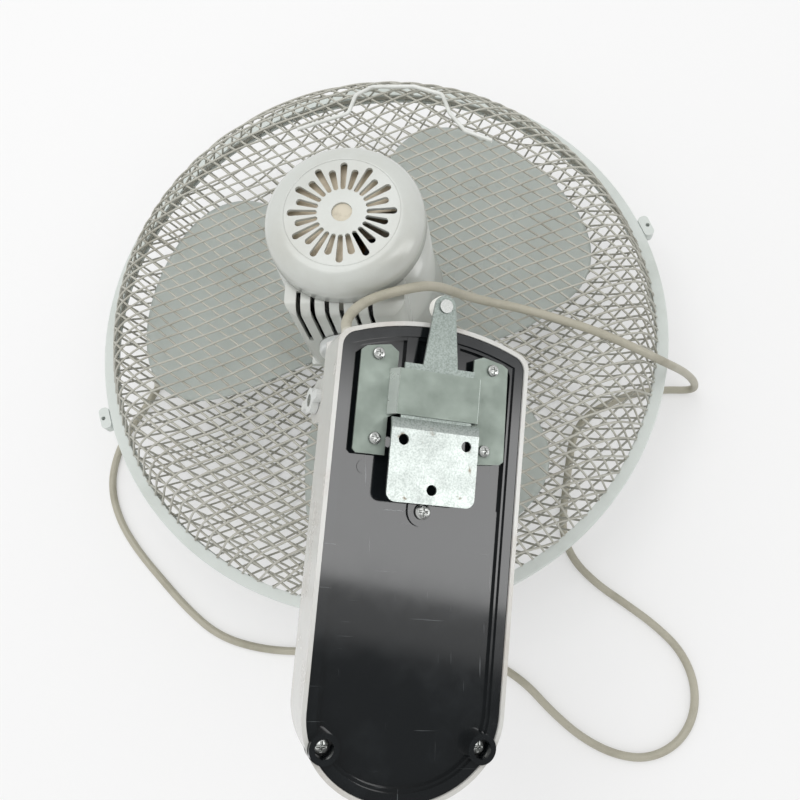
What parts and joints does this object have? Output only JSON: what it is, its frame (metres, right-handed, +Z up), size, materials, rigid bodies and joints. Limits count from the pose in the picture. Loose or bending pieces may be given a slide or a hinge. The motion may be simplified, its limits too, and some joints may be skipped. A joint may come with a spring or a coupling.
{
  "type": "wall fan",
  "caption": "Wall mounted fan with dished wire guards, twisted blades, slotted motor housing, swivel neck and a long base with a hook-on wall bracket, stored face down.",
  "frame": {"origin": "on the floor under the middle of the head, which is the centre of the front guard's flat face", "axes": "+Z up, along the blade axis towards the back of the head; +Y towards the head's own top, along the swing axis; +X completes them"},
  "size_m": [0.491, 0.5396, 0.3328],
  "materials": {
    "guard_net": "satin",
    "band_plastic": "satin",
    "badge_plastic": "gloss",
    "handle_wire": "gloss",
    "ring_steel": "plated",
    "nut_plastic": "gloss",
    "housing_plastic": "gloss",
    "plug_cap": "satin",
    "cast_bells": "cast",
    "bush_bronze": "machined",
    "core_steel": "laminated",
    "winding_copper": "enamelled",
    "screw_steel": "plated",
    "drive_steel": "plated",
    "crank_plastic": "matte",
    "pin_steel": "ground",
    "blade_plastic": "gloss",
    "rotor_metal": "turned",
    "neck_plastic": "gloss",
    "base_plastic": "gloss",
    "cover_plastic": "gloss",
    "zinc_bracket": "zinc plated",
    "zinc_plate": "zinc plated",
    "roller_plastic": "satin",
    "board": "matte",
    "switch_plastic": "matte",
    "key_plastic": "satin",
    "dark_lens": "gloss",
    "cord_rubber": "satin",
    "pin_brass": "plated"
  },
  "bodies": {
    "head": {"front_guard": "guard_net", "rear_guard": "guard_net", "front_badge": "badge_plastic", "guard_band": "band_plastic", "band_clips": "band_plastic", "carry_handle": "handle_wire", "guard_mount_ring": "ring_steel", "guard_nut": "nut_plastic", "motor_front_cover": "housing_plastic", "motor_housing": "housing_plastic", "cap_plug": "plug_cap", "front_end_bell": "cast_bells", "rear_end_bell": "cast_bells", "front_bearing": "bush_bronze", "rear_bearing": "bush_bronze", "stator_core": "core_steel", "stator_windings": "winding_copper", "motor_screws": "screw_steel", "swing_motor": "drive_steel", "swing_pin": "pin_steel", "cord_lead": "cord_rubber", "power_cord": "cord_rubber", "plug_body": "cord_rubber", "plug_pins": "pin_brass"},
    "blade": {"fan_blade": "blade_plastic", "blade_nut": "blade_plastic", "motor_shaft": "pin_steel", "rotor": "rotor_metal"},
    "crank": {"swing_crank": "crank_plastic"},
    "neck": {"neck_block": "neck_plastic", "tilt_bolt": "screw_steel", "tilt_nut": "neck_plastic"},
    "base": {"base_casing": "base_plastic", "back_cover": "cover_plastic", "cover_screws": "screw_steel", "bracket_screws": "screw_steel", "bracket": "zinc_bracket", "circuit_board": "board", "key_switches": "switch_plastic", "indicator_lens": "dark_lens", "receiver_window": "dark_lens", "run_capacitor": "switch_plastic", "cord_gland": "cord_rubber"},
    "wall_plate": {"wall_plate": "zinc_plate", "catch_roller": "roller_plastic", "catch_rivet": "screw_steel"},
    "button_power": {"button_power": "key_plastic"},
    "button_speed": {"button_speed": "key_plastic"},
    "button_swing": {"button_swing": "key_plastic"},
    "button_timer": {"button_timer": "key_plastic"},
    "button_mode": {"button_mode": "key_plastic"}
  },
  "joints": [
    {"name": "blade_spin", "type": "hinge", "parent": "head", "child": "blade", "pos_m": [0, 0, 0.1], "axis": [0, 0, 1], "continuous": true},
    {"name": "crank_turn", "type": "hinge", "parent": "head", "child": "crank", "pos_m": [0, 0, 0.2263], "axis": [0, 1, 0], "continuous": true},
    {"name": "oscillation", "type": "hinge", "parent": "head", "child": "neck", "pos_m": [0, 0, 0.1843], "axis": [0, 1, 0], "range_deg": [-71.4, 18.6], "deforming": ["cord_lead"]},
    {"name": "tilt", "type": "hinge", "parent": "neck", "child": "base", "pos_m": [0, -0.095, 0.1843], "axis": [0.8957, 0, -0.4446], "range_deg": [-9.8, 20.2], "deforming": ["cord_lead"]},
    {"name": "plate_slip", "type": "slide", "parent": "base", "child": "wall_plate", "axis": [-0.0757, -0.9854, -0.1525], "range_m": [0, 0.0018]},
    {"name": "power_press", "type": "slide", "parent": "base", "child": "button_power", "axis": [0.4381, -0.1702, 0.8826], "range_m": [0, 0.0015], "stiffness_N_per_m": 400},
    {"name": "speed_press", "type": "slide", "parent": "base", "child": "button_speed", "axis": [0.4381, -0.1702, 0.8826], "range_m": [0, 0.0015], "stiffness_N_per_m": 400},
    {"name": "swing_press", "type": "slide", "parent": "base", "child": "button_swing", "axis": [0.4381, -0.1702, 0.8826], "range_m": [0, 0.0015], "stiffness_N_per_m": 400},
    {"name": "timer_press", "type": "slide", "parent": "base", "child": "button_timer", "axis": [0.4381, -0.1702, 0.8826], "range_m": [0, 0.0015], "stiffness_N_per_m": 400},
    {"name": "mode_press", "type": "slide", "parent": "base", "child": "button_mode", "axis": [0.4381, -0.1702, 0.8826], "range_m": [0, 0.0015], "stiffness_N_per_m": 400}
  ]
}
